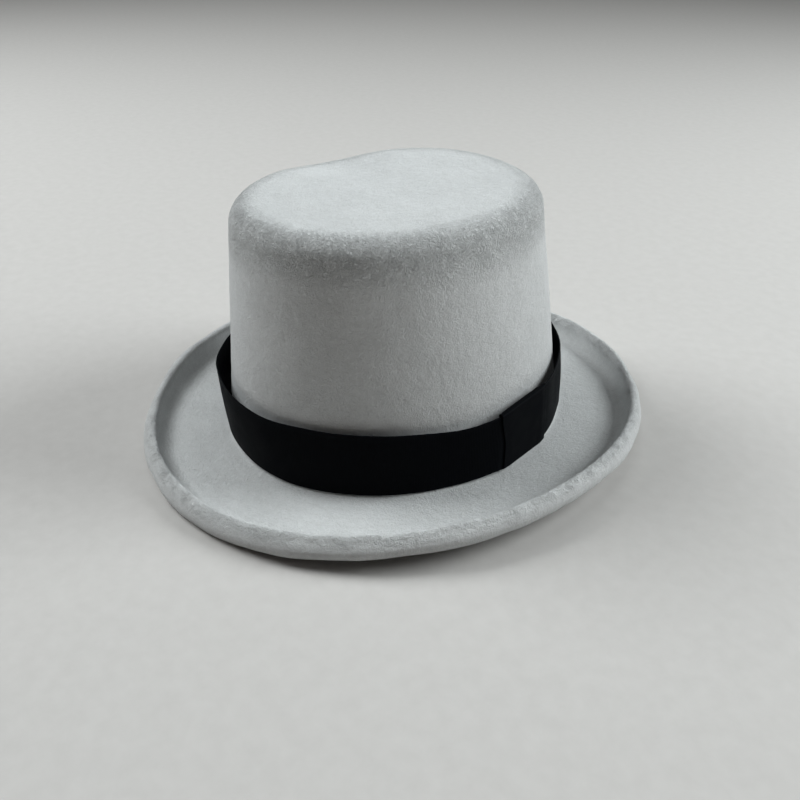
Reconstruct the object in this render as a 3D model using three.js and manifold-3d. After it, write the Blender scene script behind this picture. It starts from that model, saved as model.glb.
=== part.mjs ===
// A wool-felt top hat. The crown and the curled brim are one blocked piece of felt. A ribbon band
// stands loosely round the foot of the crown, its lapped ends held by a wrapped keeper on the
// wearer's left. Inside are the sweatband with its piping, seam tape, bow and size tab, and a lining.
// Millimetres, +Z up. The front of the hat faces -Y and the wearer's left is +X. The origin is on the
// surface that the brim stands on, below the centre of the brim.
import * as THREE from "three";
import Module from "manifold-3d";
import { mergeVertices } from "three/addons/utils/BufferGeometryUtils.js";

// Head opening, measured inside the sweatband
const HEAD_WIDTH = 168;
const HEAD_LENGTH = 196;

// Felt body
const FELT_THICKNESS = 2.6;
const CROWN_HEIGHT = 137; // upper face of the brim to the tip
const CROWN_TAPER_SIDES = 14; // how far each side wall leans in between the brim and the tip
const CROWN_TAPER_ENDS = 12; // the same at the front and the back
const CROWN_LEAN = 4; // how far forward of the brim's centre the tip is
const TIP_EDGE_RADIUS = 12;
const BREAK_RADIUS = 2.5; // fillet between the wall and the brim
const BRIM_WIDTH = 50; // wall to the outside of the lip
const BRIM_DIP = 6.5; // how far the brim's edge falls at the front and the back
const BRIM_LIFT = 5.5; // how far it rises at the sides
const BRIM_SWEEP = 1.5; // power that keeps the dip and the lift near the edge
const LIP_HEIGHT = 11.5; // upper face of the brim to the top of the turned-up edge
const LIP_BEND_RADIUS = 6; // inside the turn
const REST_DEPTH = 0.4; // how deep the standing patches are pressed into the dips

// Ribbon band and keeper
const RIBBON_THICKNESS = 0.8;
const BAND_HEIGHT = 36;
const BAND_LIFT = 1.8; // upper face of the brim to the band's lower edge
const BAND_FOOT_GAP = 2.2; // wall to the band's inner face, at its lower edge
const BAND_TOP_GAP = 3.2; // the same at its upper edge, where it is snug
const BAND_LAP = 24; // length of the lapped ends
const BAND_LAP_RAMP = 18; // length over which the outer end climbs onto the inner one
const SLACK_GAP = 4; // how much further the upper edge stands out where the slack gathers
const SLACK_ANGLE = 235; // degrees round from the wearer's left towards the back
const SLACK_SPREAD = 75; // degrees to either side of it
const KEEPER_ANGLE = 10;
const KEEPER_WIDTH = 38;
const KEEPER_THICKNESS = 0.9;
const KEEPER_EASE = 20; // degrees over which the band curves again beyond the flat keeper

// Sweatband and what is sewn to it
const SWEATBAND_THICKNESS = 1.2;
const SWEATBAND_HEIGHT = 36;
const SWEATBAND_LIFT = 2; // upper face of the brim to its lower edge
const SWEATBAND_SEAM = 0.6; // the slit where its ends meet at the back
const PIPING_RADIUS = 1.1;
const SEAM_TAPE_WIDTH = 12;
const SEAM_TAPE_THICKNESS = 0.5;
const BOW_WIDTH = 26;
const BOW_HEIGHT = 9;
const BOW_WAIST = 4;
const BOW_THICKNESS = 1.2;
const BOW_LIFT = 20; // sweatband's lower edge to the middle of the bow
const KNOT_WIDTH = 4.5;
const KNOT_HEIGHT = 5.5;
const KNOT_THICKNESS = 0.8;
const SIZE_TAB_WIDTH = 17;
const SIZE_TAB_HEIGHT = 9;
const SIZE_TAB_THICKNESS = 0.4;
const SIZE_TAB_DROP = 4; // sweatband's upper edge to the tab
const SIZE_TAB_ANGLE = 68;

// Lining
const LINING_THICKNESS = 0.5;
const LINING_TUCK = 7; // how far its lower edge is tucked behind the sweatband
const LINING_EASE = 8; // height over which it leaves the sweatband for its own line
const LINING_GAP = 2; // felt to the lining above the sweatband
const LINING_TIP_GAP = 8; // felt tip to the lining tip

// How finely things are cut
const GAP = 0.3; // between pieces that touch
const TURN_STEPS = 64;
const ARC_STEPS = 3;
const STRIP_STEPS = 128;

const TURN = 2 * Math.PI;
const BACK = TURN / 4;
const FRONT = -TURN / 4;
const radians = THREE.MathUtils.degToRad;
const { lerp, clamp, smoothstep } = THREE.MathUtils;

// ---------------------------------------------------------------- the hat's own space
// Every piece is drawn on a round hat, as a radius, a height above the brim and an angle, and then
// placed: the circle becomes the head's oval, the crown leans, and the brim takes its dip and lift.

const CROWN_TAPER = (CROWN_TAPER_SIDES + CROWN_TAPER_ENDS) / 2;
const TUCK_GAP = LINING_THICKNESS + 2 * GAP; // felt to sweatband, with the lining's edge between
const WALL_INSET = SWEATBAND_THICKNESS + TUCK_GAP + FELT_THICKNESS; // head to the wall's outer face
const WALL_RADIUS = (HEAD_LENGTH + HEAD_WIDTH) / 4 + WALL_INSET;
const TIP_FLAT_RADIUS = WALL_RADIUS - CROWN_TAPER - TIP_EDGE_RADIUS;

// Outer face of the crown's wall.
function wallRadius(height) {
  return WALL_RADIUS - (CROWN_TAPER * height) / CROWN_HEIGHT;
}

// How far up the crown a point is, from 0 at the brim to 1 at the tip. The lip is part of the brim.
function crownShare(radius, height) {
  return radius > WALL_RADIUS + BRIM_WIDTH / 2 ? 0 : clamp(height / CROWN_HEIGHT, 0, 1);
}

// How far the oval's long half exceeds the round hat, and its short half falls below it.
function ovalSpread(radius, share) {
  const atBrim = (HEAD_LENGTH - HEAD_WIDTH) / 4;
  const atTip = atBrim + (CROWN_TAPER_SIDES - CROWN_TAPER_ENDS) / 2;
  return lerp(atBrim, atTip, share) * Math.min(1, radius / TIP_FLAT_RADIUS);
}

// How far the brim's dip and lift move a point up.
function brimRise(radius, angle) {
  const share = Math.max(0, (radius - WALL_RADIUS) / BRIM_WIDTH);
  const atEdge = BRIM_LIFT * Math.cos(angle) ** 2 - BRIM_DIP * Math.sin(angle) ** 2;
  return atEdge * share ** BRIM_SWEEP;
}

const feltProfile = makeFeltProfile();
const BRIM_HEIGHT = -REST_DEPTH - Math.min(...feltProfile.map((p) => p.y + brimRise(p.x, FRONT)));

function place(radius, height, angle) {
  const share = crownShare(radius, height);
  const spread = ovalSpread(radius, share);
  return new THREE.Vector3(
    (radius - spread) * Math.cos(angle),
    (radius + spread) * Math.sin(angle) - CROWN_LEAN * share,
    BRIM_HEIGHT + height + brimRise(radius, angle),
  );
}

// The angle that a length along the wall takes up at a place round the hat.
function arc(length, angle) {
  const spread = ovalSpread(WALL_RADIUS, 0);
  const across = (WALL_RADIUS - spread) * Math.sin(angle);
  const along = (WALL_RADIUS + spread) * Math.cos(angle);
  return length / Math.hypot(across, along);
}

// ---------------------------------------------------------------- ways of making a solid

// Moves each vertex of a geometry to where move(x, y, z) puts it, and joins the vertices that meet.
function reshape(geometry, move) {
  const position = geometry.getAttribute("position");
  for (let i = 0; i < position.count; i++) {
    const moved = move(position.getX(i), position.getY(i), position.getZ(i));
    position.setXYZ(i, moved.x, moved.y, moved.z);
  }
  return joined(geometry);
}

function joined(geometry) {
  geometry.deleteAttribute("normal");
  geometry.deleteAttribute("uv");
  const merged = mergeVertices(geometry);
  merged.computeVertexNormals();
  return merged;
}

// A profile of radius and height turned all the way round the hat.
function turned(profile) {
  const lathe = new THREE.LatheGeometry(profile, TURN_STEPS);
  return reshape(lathe, (x, y, z) => place(Math.hypot(x, z), y, Math.atan2(z, x)));
}

// A strip bent round the hat between two angles. edges(angle) gives its lower and upper height and
// inner(angle, height) the radius of its inner face.
function strip({ from, to, edges, inner, thickness }) {
  const steps = Math.max(4, Math.ceil(((to - from) / TURN) * STRIP_STEPS));
  const box = new THREE.BoxGeometry(1, 1, 1, steps, 1, 1);
  return reshape(box, (x, y, z) => {
    const angle = lerp(from, to, x + 0.5);
    const [low, high] = edges(angle);
    const height = lerp(low, high, y + 0.5);
    return place(inner(angle, height) + (z + 0.5) * thickness, height, angle);
  });
}

const wasm = await Module();
wasm.setup();

function toSolid(geometry) {
  const closed = joined(geometry.clone());
  closed.deleteAttribute("normal");
  return new wasm.Manifold(
    new wasm.Mesh({
      numProp: 3,
      vertProperties: closed.getAttribute("position").array,
      triVerts: new Uint32Array(closed.getIndex().array),
    }),
  );
}

function toGeometry(solid) {
  const mesh = solid.getMesh();
  const geometry = new THREE.BufferGeometry();
  geometry.setAttribute("position", new THREE.BufferAttribute(mesh.vertProperties, 3));
  geometry.setIndex(new THREE.BufferAttribute(mesh.triVerts, 1));
  geometry.computeVertexNormals();
  return geometry;
}

// ---------------------------------------------------------------- felt body

// From the middle of the tip down the outside, round the lip, and back up the inside.
function makeFeltProfile() {
  const lean = Math.atan2(CROWN_TAPER, CROWN_HEIGHT);
  const lipInside = WALL_RADIUS + BRIM_WIDTH - FELT_THICKNESS;
  const bendCentre = lipInside - LIP_BEND_RADIUS;
  const breakCentre = WALL_RADIUS + BREAK_RADIUS;
  const noseRadius = FELT_THICKNESS / 2;
  const tipCentre = CROWN_HEIGHT - TIP_EDGE_RADIUS;
  const arcs = [
    // centre's radius and height, arc radius, first angle, last angle, clockwise
    [TIP_FLAT_RADIUS, tipCentre, TIP_EDGE_RADIUS, TURN / 4, lean, true],
    [breakCentre, BREAK_RADIUS, BREAK_RADIUS, TURN / 2, (3 * TURN) / 4, false],
    [bendCentre, LIP_BEND_RADIUS, LIP_BEND_RADIUS, -TURN / 4, 0, false],
    [lipInside + noseRadius, LIP_HEIGHT - noseRadius, noseRadius, TURN / 2, 0, true],
    [bendCentre, LIP_BEND_RADIUS, LIP_BEND_RADIUS + FELT_THICKNESS, 0, -TURN / 4, true],
    [breakCentre, BREAK_RADIUS, BREAK_RADIUS + FELT_THICKNESS, (3 * TURN) / 4, TURN / 2, true],
    [TIP_FLAT_RADIUS, tipCentre, TIP_EDGE_RADIUS - FELT_THICKNESS, lean, TURN / 4, false],
  ];
  const points = [new THREE.Vector2(0, CROWN_HEIGHT)];
  for (const [x, y, radius, first, last, clockwise] of arcs) {
    const path = new THREE.Path().absarc(x, y, radius, first, last, clockwise);
    points.push(...path.getPoints(ARC_STEPS));
  }
  points.push(new THREE.Vector2(0, CROWN_HEIGHT - FELT_THICKNESS));
  return points;
}

// The felt is pressed flat where the dips stand on the table.
function feltBody() {
  const reach = 4 * (WALL_RADIUS + BRIM_WIDTH);
  const table = new THREE.BoxGeometry(reach, reach, reach).translate(0, 0, -reach / 2);
  return toGeometry(toSolid(turned(feltProfile)).subtract(toSolid(table)));
}

// ---------------------------------------------------------------- ribbon band and keeper

const BAND_TOP = BAND_LIFT + BAND_HEIGHT;
const KEEPER = radians(KEEPER_ANGLE);
const KEEPER_HALF = arc(KEEPER_WIDTH, KEEPER) / 2;

// How far apart two angles are, at most half a turn.
function between(a, b) {
  return Math.abs(Math.atan2(Math.sin(a - b), Math.cos(a - b)));
}

// How far the stiff keeper pushes the band out of its curve: it is straight there, and eases back.
function keeperBulge(angle) {
  const offset = between(angle, KEEPER);
  const eased = smoothstep(offset, KEEPER_HALF, KEEPER_HALF + radians(KEEPER_EASE));
  const depth = 1 / Math.cos(Math.min(offset, KEEPER_HALF)) - 1;
  return WALL_RADIUS * depth * (1 - eased);
}

// How far the slack lets the upper edge of the band stand out.
function bandSlack(angle) {
  const offset = between(angle, radians(SLACK_ANGLE));
  return SLACK_GAP * (1 - smoothstep(offset, 0, radians(SLACK_SPREAD)));
}

// The inner face of the band.
function bandRadius(angle, height) {
  const share = (height - BAND_LIFT) / BAND_HEIGHT;
  const gap = lerp(BAND_FOOT_GAP, BAND_TOP_GAP + bandSlack(angle), share);
  return wallRadius(height) + gap + keeperBulge(angle);
}

function hatBand() {
  const lap = arc(BAND_LAP, KEEPER);
  const ramp = arc(BAND_LAP_RAMP, KEEPER);
  const from = KEEPER - lap / 2;
  const to = from + TURN + lap;
  const climb = (angle) => (RIBBON_THICKNESS + GAP) * smoothstep(angle, to - lap - ramp, to - lap);
  return strip({
    from,
    to,
    edges: () => [BAND_LIFT, BAND_TOP],
    inner: (angle, height) => bandRadius(angle, height) + climb(angle),
    thickness: RIBBON_THICKNESS,
  });
}

// A sleeve of ribbon wrapped round the lapped ends: a flat tube, run along the band.
function bandKeeper() {
  const depth = 2 * RIBBON_THICKNESS + 3 * GAP;
  const low = BAND_LIFT - GAP;
  const high = BAND_TOP + GAP;
  const wall = KEEPER_THICKNESS;
  const section = roundedRectangle(-wall, low - wall, depth + wall, high + wall, wall);
  section.holes.push(roundedRectangle(0, low, depth, high, GAP));
  const tube = new THREE.ExtrudeGeometry(section, {
    depth: 1,
    steps: 8,
    curveSegments: 2,
    bevelEnabled: false,
  });
  return reshape(tube, (x, y, z) => {
    const angle = KEEPER + KEEPER_HALF * (1 - 2 * z);
    return place(bandRadius(angle, y) - GAP + x, y, angle);
  });
}

function roundedRectangle(left, low, right, high, corner) {
  return new THREE.Shape()
    .moveTo(left + corner, low)
    .lineTo(right - corner, low)
    .absarc(right - corner, low + corner, corner, FRONT, 0)
    .lineTo(right, high - corner)
    .absarc(right - corner, high - corner, corner, 0, BACK)
    .lineTo(left + corner, high)
    .absarc(left + corner, high - corner, corner, BACK, 2 * BACK)
    .lineTo(left, low + corner)
    .absarc(left + corner, low + corner, corner, 2 * BACK, 3 * BACK);
}

// ---------------------------------------------------------------- sweatband

const SWEATBAND_TOP = SWEATBAND_LIFT + SWEATBAND_HEIGHT;

// The face of the sweatband that is worn against the head.
function sweatbandRadius(height) {
  return wallRadius(height) - WALL_INSET;
}

function sweatband() {
  const seam = arc(SWEATBAND_SEAM, BACK) / 2;
  return strip({
    from: BACK + seam,
    to: BACK + TURN - seam,
    edges: () => [SWEATBAND_LIFT, SWEATBAND_TOP],
    inner: (angle, height) => sweatbandRadius(height),
    thickness: SWEATBAND_THICKNESS,
  });
}

function sweatbandPiping() {
  const centre = sweatbandRadius(SWEATBAND_LIFT) + SWEATBAND_THICKNESS / 2;
  const height = SWEATBAND_LIFT - GAP - PIPING_RADIUS;
  const section = new THREE.Path().absarc(centre, height, PIPING_RADIUS, 0, TURN, true);
  return turned(section.getPoints(ARC_STEPS));
}

// A patch that lies on the face of the sweatband, over whatever is already depth thick.
function patch({ angle, width, edges, thickness, depth = 0 }) {
  const half = arc(width, angle) / 2;
  return strip({
    from: angle - half,
    to: angle + half,
    edges,
    inner: (a, height) => sweatbandRadius(height) - depth - GAP - thickness,
    thickness,
  });
}

function seamTape() {
  return patch({
    angle: BACK,
    width: SEAM_TAPE_WIDTH,
    edges: () => [SWEATBAND_LIFT + GAP, SWEATBAND_TOP - GAP],
    thickness: SEAM_TAPE_THICKNESS,
  });
}

const BOW_CENTRE = SWEATBAND_LIFT + BOW_LIFT;
const BOW_DEPTH = GAP + SEAM_TAPE_THICKNESS;

// Two flat loops, narrow at the waist where the knot holds them.
function sweatbandBow() {
  const half = arc(BOW_WIDTH, BACK) / 2;
  return patch({
    angle: BACK,
    width: BOW_WIDTH,
    edges: (angle) => {
      const share = smoothstep(Math.abs(angle - BACK), 0, half);
      const reach = lerp(BOW_WAIST, BOW_HEIGHT, share) / 2;
      return [BOW_CENTRE - reach, BOW_CENTRE + reach];
    },
    thickness: BOW_THICKNESS,
    depth: BOW_DEPTH,
  });
}

function bowKnot() {
  return patch({
    angle: BACK,
    width: KNOT_WIDTH,
    edges: () => [BOW_CENTRE - KNOT_HEIGHT / 2, BOW_CENTRE + KNOT_HEIGHT / 2],
    thickness: KNOT_THICKNESS,
    depth: BOW_DEPTH + GAP + BOW_THICKNESS,
  });
}

function sizeTab() {
  const high = SWEATBAND_TOP - SIZE_TAB_DROP;
  return patch({
    angle: radians(SIZE_TAB_ANGLE),
    width: SIZE_TAB_WIDTH,
    edges: () => [high - SIZE_TAB_HEIGHT, high],
    thickness: SIZE_TAB_THICKNESS,
  });
}

// ---------------------------------------------------------------- lining

const LINING_LOW = SWEATBAND_TOP - LINING_TUCK;
const LINING_HIGH = CROWN_HEIGHT - FELT_THICKNESS - LINING_TIP_GAP;

// Outer face of the lining's wall: against the felt behind the sweatband, and clear of it above.
function liningRadius(height) {
  const free = smoothstep(height, SWEATBAND_TOP, SWEATBAND_TOP + LINING_EASE);
  return wallRadius(height) - FELT_THICKNESS - lerp(GAP, LINING_GAP, free);
}

function liningWall() {
  const heights = [LINING_LOW, SWEATBAND_TOP, SWEATBAND_TOP + LINING_EASE, LINING_HIGH];
  const outer = heights.map((h) => new THREE.Vector2(liningRadius(h), h)).reverse();
  const inner = heights.map((h) => new THREE.Vector2(liningRadius(h) - LINING_THICKNESS, h));
  return turned([...outer, ...inner, outer[0]]);
}

function liningTip() {
  const radius = liningRadius(LINING_HIGH) - LINING_THICKNESS - GAP;
  const low = LINING_HIGH - LINING_THICKNESS;
  return turned([
    new THREE.Vector2(0, LINING_HIGH),
    new THREE.Vector2(radius, LINING_HIGH),
    new THREE.Vector2(radius, low),
    new THREE.Vector2(0, low),
  ]);
}

// ---------------------------------------------------------------- assembly

function cloth(colour, roughness) {
  return new THREE.MeshStandardMaterial({ color: colour, roughness, metalness: 0 });
}

const felt = cloth("#c3c8c8", 0.95);
const ribbon = cloth("#0b0d10", 0.5);
const leather = cloth("#1d1b1a", 0.55);
const satin = cloth("#d9d6cf", 0.35);
const tape = cloth("#16161a", 0.6);
const paper = cloth("#e8e4da", 0.8);

function add(parent, name, geometry, material) {
  const mesh = new THREE.Mesh(geometry, material);
  mesh.name = name;
  parent.add(mesh);
}

const hat = new THREE.Group();
add(hat, "felt_body", feltBody(), felt);

const band = new THREE.Group();
add(band, "hat_band", hatBand(), ribbon);
add(band, "band_keeper", bandKeeper(), ribbon);
hat.add(band);

const fittings = new THREE.Group();
add(fittings, "sweatband", sweatband(), leather);
add(fittings, "sweatband_piping", sweatbandPiping(), leather);
add(fittings, "sweatband_seam_tape", seamTape(), tape);
add(fittings, "sweatband_bow", sweatbandBow(), tape);
add(fittings, "sweatband_bow_knot", bowKnot(), tape);
add(fittings, "size_tab", sizeTab(), paper);
add(fittings, "lining_wall", liningWall(), satin);
add(fittings, "lining_tip", liningTip(), satin);
hat.add(fittings);

export default hat;
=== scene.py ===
import math

import bmesh
import bpy
import numpy as np
from mathutils import Matrix, Vector, noise


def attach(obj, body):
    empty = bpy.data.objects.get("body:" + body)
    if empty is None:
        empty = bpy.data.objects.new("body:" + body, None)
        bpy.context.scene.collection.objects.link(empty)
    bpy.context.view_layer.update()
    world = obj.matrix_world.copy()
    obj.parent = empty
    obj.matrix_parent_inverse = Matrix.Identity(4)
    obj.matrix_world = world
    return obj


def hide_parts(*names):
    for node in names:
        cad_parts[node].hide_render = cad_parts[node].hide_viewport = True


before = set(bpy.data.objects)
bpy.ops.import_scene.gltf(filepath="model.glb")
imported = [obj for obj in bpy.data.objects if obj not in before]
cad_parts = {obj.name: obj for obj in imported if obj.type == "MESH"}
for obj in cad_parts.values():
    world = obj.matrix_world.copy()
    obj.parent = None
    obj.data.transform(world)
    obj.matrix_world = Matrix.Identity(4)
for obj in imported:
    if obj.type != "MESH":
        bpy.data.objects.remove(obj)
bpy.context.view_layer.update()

MM = 0.001
TURN = 2 * math.pi
BACK = TURN / 4

# ------------------------------------------------ sizes, in millimetres, as in the CAD model
# The pieces are drawn on the same round hat as the CAD solids and placed by the same rule.

HEAD_WIDTH = 168.0
HEAD_LENGTH = 196.0
WALL_INSET = 4.9  # outer face of the felt to the face of the sweatband
WALL_RADIUS = (HEAD_WIDTH + HEAD_LENGTH) / 4 + WALL_INSET  # outer face of the crown at the brim
OVAL_AT_BRIM = (HEAD_LENGTH - HEAD_WIDTH) / 4  # how far the oval's long half exceeds the round hat
OVAL_AT_TIP = 8.0
CROWN_HEIGHT = 137.0
CROWN_TAPER = 13.0
CROWN_LEAN = 4.0
TIP_EDGE_RADIUS = 12.0
TIP_FLAT_RADIUS = WALL_RADIUS - CROWN_TAPER - TIP_EDGE_RADIUS
FELT = 2.6
BREAK_RADIUS = 2.5
BRIM_WIDTH = 50.0
RIM_RADIUS = WALL_RADIUS + BRIM_WIDTH
BRIM_HEIGHT = 7.2045  # upper face of the brim at the crown, above the table
BRIM_DIP = 6.5
BRIM_LIFT = 5.5
BRIM_SWEEP = 1.5
LIP_HEIGHT = 11.5

RIBBON = 0.8
BAND_LOW = 1.8
BAND_HEIGHT = 36.0
BAND_FOOT_GAP = 1.2
BAND_TOP_GAP = 3.2
BAND_LAP = 24.0
BAND_LAP_RAMP = 18.0
SLACK_GAP = 4.0
SLACK_ANGLE = math.radians(235)
SLACK_SPREAD = math.radians(75)
KEEPER_ANGLE = math.radians(10)
KEEPER_WIDTH = 38.0
KEEPER_THICKNESS = 0.6
KEEPER_EASE = math.radians(20)

SWEATBAND = 1.2
SWEATBAND_LOW = 2.0
SWEATBAND_HIGH = 38.0
SWEATBAND_SEAM = 0.6
PIPING_RADIUS = 1.1
PIPING_HEIGHT = 0.6
LINING = 0.5
LINING_LOW = 31.0
LINING_HIGH = 126.4
LINING_GAP = 2.0
LINING_EASE = 8.0
GAP = 0.3

# ------------------------------------------------ how this hat was blocked and has settled
# Depths and heights in millimetres. A spread is how far round the hat the shape fades out.

LIP_BEND = 8.5
LIP_SLOPE = 18  # degrees the inner face of the lip leans out from upright
LIP_ROLL = (5.4, 6.9)  # half width and half height of the roll's outer face
LIP_NOSE = 2.3
LIP_TALLER = 5.5
LIP_TALLER_ANGLE = math.radians(84)
LIP_TALLER_SPREAD = math.radians(52)
LIP_LOWER = 2.8
LIP_LOWER_ANGLE = math.radians(-37)
LIP_LOWER_SPREAD = (math.radians(10), math.radians(80))
SLOUCH = (-1.7, -1.6)  # how far the tip has settled sideways from the crown's own lean
TIP_SAG = 1.1
TIP_DENT = 3.0
TIP_DENT_ANGLE = math.radians(178)
TIP_DENT_SPREAD = math.radians(32)
TIP_SWELL = 1.2
TIP_SWELL_ANGLE = math.radians(122)
TIP_SWELL_SPREAD = math.radians(48)

# ------------------------------------------------ the hat's own space


def smooth(value, low, high):
    share = np.clip((np.asarray(value, float) - low) / (high - low), 0, 1)
    return share * share * (3 - 2 * share)


def between(a, b):
    """How far apart two angles are, at most half a turn."""
    return np.abs(np.arctan2(np.sin(a - b), np.cos(a - b)))


def wall_radius(height):
    return WALL_RADIUS - CROWN_TAPER * height / CROWN_HEIGHT


def brim_rise(radius, angle):
    share = np.maximum(0, (radius - WALL_RADIUS) / BRIM_WIDTH)
    at_edge = BRIM_LIFT * np.cos(angle) ** 2 - BRIM_DIP * np.sin(angle) ** 2
    return at_edge * share**BRIM_SWEEP


def hand_blocked(radius, angle, share):
    """What hand blocking does to every layer alike: how far a point goes out and up, in millimetres."""
    within = np.clip(radius / WALL_RADIUS, 0, 1)
    waist = np.sin(math.pi * share) * within
    out = waist * (0.55 * np.sin(3 * angle + 0.7) + 0.35 * np.sin(5 * angle + 2.1))
    rim = smooth(radius, WALL_RADIUS + 5, RIM_RADIUS)
    up = rim * np.cos(angle) ** 2 * (0.7 * np.sin(3 * angle + 1.2) + 0.4 * np.sin(7 * angle))
    dent = smooth(between(angle, TIP_DENT_ANGLE), TIP_DENT_SPREAD, 0)
    swell = smooth(between(angle, TIP_SWELL_ANGLE), TIP_SWELL_SPREAD, 0)
    at_tip = share**6
    up += (TIP_SWELL * swell - TIP_DENT * dent) * smooth(radius, 20, 66) * at_tip
    up -= TIP_SAG * (1 - smooth(radius, 0, TIP_FLAT_RADIUS)) * at_tip
    return out, up


def place(radius, height, angle):
    """Takes points of the round hat, in millimetres, to their places on the oval one, in metres."""
    radius, height, angle = np.broadcast_arrays(
        np.asarray(radius, float), np.asarray(height, float), np.asarray(angle, float)
    )
    on_crown = radius <= WALL_RADIUS + BRIM_WIDTH / 2
    share = np.where(on_crown, np.clip(height / CROWN_HEIGHT, 0, 1), 0)
    spread = OVAL_AT_BRIM + (OVAL_AT_TIP - OVAL_AT_BRIM) * share
    spread = spread * np.minimum(1, radius / TIP_FLAT_RADIUS)
    out, up = hand_blocked(radius, angle, share)
    x = (radius - spread + out) * np.cos(angle) + SLOUCH[0] * share
    y = (radius + spread + out) * np.sin(angle) + (SLOUCH[1] - CROWN_LEAN) * share
    z = BRIM_HEIGHT + height + brim_rise(radius, angle) + up
    return np.stack([x, y, z], -1) * MM


def arc(length, angle):
    """The angle that a length along the wall takes up."""
    across = (WALL_RADIUS - OVAL_AT_BRIM) * math.sin(angle)
    along = (WALL_RADIUS + OVAL_AT_BRIM) * math.cos(angle)
    return length / math.hypot(across, along)


# ------------------------------------------------ making a mesh


def new_piece(name, vertices, faces, flat_faces=()):
    mesh = bpy.data.meshes.new(name)
    mesh.from_pydata([tuple(v) for v in vertices], [], faces + list(flat_faces))
    edit = bmesh.new()
    edit.from_mesh(mesh)
    bmesh.ops.recalc_face_normals(edit, faces=edit.faces)
    edit.to_mesh(mesh)
    edit.free()
    smooth_flags = [True] * len(faces) + [False] * len(flat_faces)
    mesh.polygons.foreach_set("use_smooth", smooth_flags)
    piece = bpy.data.objects.new(name, mesh)
    bpy.context.scene.collection.objects.link(piece)
    return piece


def grid_faces(rows, columns, wrap_rows, wrap_columns):
    made = []
    for i in range(rows if wrap_rows else rows - 1):
        for j in range(columns if wrap_columns else columns - 1):
            k, l = (i + 1) % rows, (j + 1) % columns
            made.append((i * columns + j, k * columns + j, k * columns + l, i * columns + l))
    return made


def swept(name, loops, closed):
    """A closed mesh from loops of points, shape (loop, point, 3), one after another along a path."""
    count, size = loops.shape[:2]
    faces = grid_faces(count, size, closed, True)
    ends = []
    if not closed:
        last = (count - 1) * size
        ends = [tuple(range(size)), tuple(last + i for i in reversed(range(size)))]
    return new_piece(name, loops.reshape(-1, 3), faces, ends)


def turned(name, profile, columns, surface=place):
    """A closed mesh from a profile that starts and ends on the middle line, turned round the hat."""
    angles = np.arange(columns) * TURN / columns
    inner = profile[1:-1]
    rings = surface(inner[:, 0, None], inner[:, 1, None], angles[None, :])
    poles = [surface(0.0, profile[i, 1], 0.0) for i in (0, -1)]
    vertices = np.concatenate([rings.reshape(-1, 3), poles])
    faces = grid_faces(len(inner), columns, False, True)
    top, bottom, last = len(vertices) - 2, len(vertices) - 1, (len(inner) - 1) * columns
    for j in range(columns):
        k = (j + 1) % columns
        faces.append((top, j, k))
        faces.append((bottom, last + k, last + j))
    return new_piece(name, vertices, faces)


def flat_loop(low, high, thickness, steps, edge_steps=4):
    """The edge of a strip cut across: places along its width, and depths from 0 to its thickness."""
    half = thickness / 2
    along = np.linspace(low + half, high - half, steps)
    turn = np.linspace(0, math.pi, edge_steps + 2)[1:-1]
    at_high = np.stack([high - half + half * np.sin(turn), half + half * np.cos(turn)], 1)
    at_low = np.stack([low + half - half * np.sin(turn), half - half * np.cos(turn)], 1)
    outer = np.stack([along, np.full(steps, thickness)], 1)
    inner = np.stack([along[::-1], np.zeros(steps)], 1)
    loop = np.concatenate([outer, at_high, inner, at_low])
    return loop[:, 0], loop[:, 1]


def arc_points(centre, radius, first, last, steps):
    angles = np.radians(np.linspace(first, last, steps))
    return np.stack([centre[0] + radius * np.cos(angles), centre[1] + radius * np.sin(angles)], 1)


def divided(points, spacing):
    """The same line with no step longer than the spacing."""
    made = [points[:1]]
    for a, b in zip(points[:-1], points[1:]):
        steps = max(1, math.ceil(np.linalg.norm(b - a) / spacing))
        made.append(a + (b - a) * (np.arange(1, steps + 1) / steps)[:, None])
    return np.concatenate(made)


def vertices_of(piece):
    co = np.zeros(len(piece.data.vertices) * 3)
    piece.data.vertices.foreach_get("co", co)
    return co.reshape(-1, 3)


def normals_of(piece):
    normals = np.zeros(len(piece.data.vertices) * 3)
    piece.data.vertices.foreach_get("normal", normals)
    return normals.reshape(-1, 3)


def move_vertices(piece, co):
    piece.data.vertices.foreach_set("co", co.astype(np.float32).ravel())
    piece.data.update()


def clouds_over(co, frequency, fade, strength, shift=(0, 0, 0)):
    """Soft patches of noise at each point, from 0 to 1."""
    found = [noise.fractal(Vector(p * frequency) + Vector(shift), fade, 2.0, 3) for p in co]
    return np.clip(0.5 + strength * np.array(found), 0, 1)


def roughened(piece, scale, height, where=1.0):
    """Moves each vertex along its normal by noise of that scale and height, both in metres."""
    co, normals = vertices_of(piece), normals_of(piece)
    found = [noise.fractal(Vector(p / scale), 0.9, 2.0, 2) for p in co]
    move_vertices(piece, co + normals * (np.array(found) * height * where)[:, None])


def mark(piece, name, values):
    """A number at each vertex, which the piece's material reads."""
    made = piece.data.attributes.new(name, "FLOAT", "POINT")
    made.data.foreach_set("value", np.asarray(values, np.float32).ravel())


def finished(piece, body, material, replaced_node):
    piece.data.materials.append(material)
    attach(piece, body)
    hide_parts(replaced_node)
    return piece


# ------------------------------------------------ materials


def feed(tree, made, name, value):
    """Links a socket to one input of a node, or sets a plain value on it."""
    if isinstance(value, bpy.types.NodeSocket):
        tree.links.new(value, made.inputs[name])
    else:
        made.inputs[name].default_value = value


def node(tree, kind, inputs=None, **settings):
    made = tree.nodes.new(kind)
    for name, value in settings.items():
        setattr(made, name, value)
    for name, value in (inputs or {}).items():
        feed(tree, made, name, value)
    return made


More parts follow.
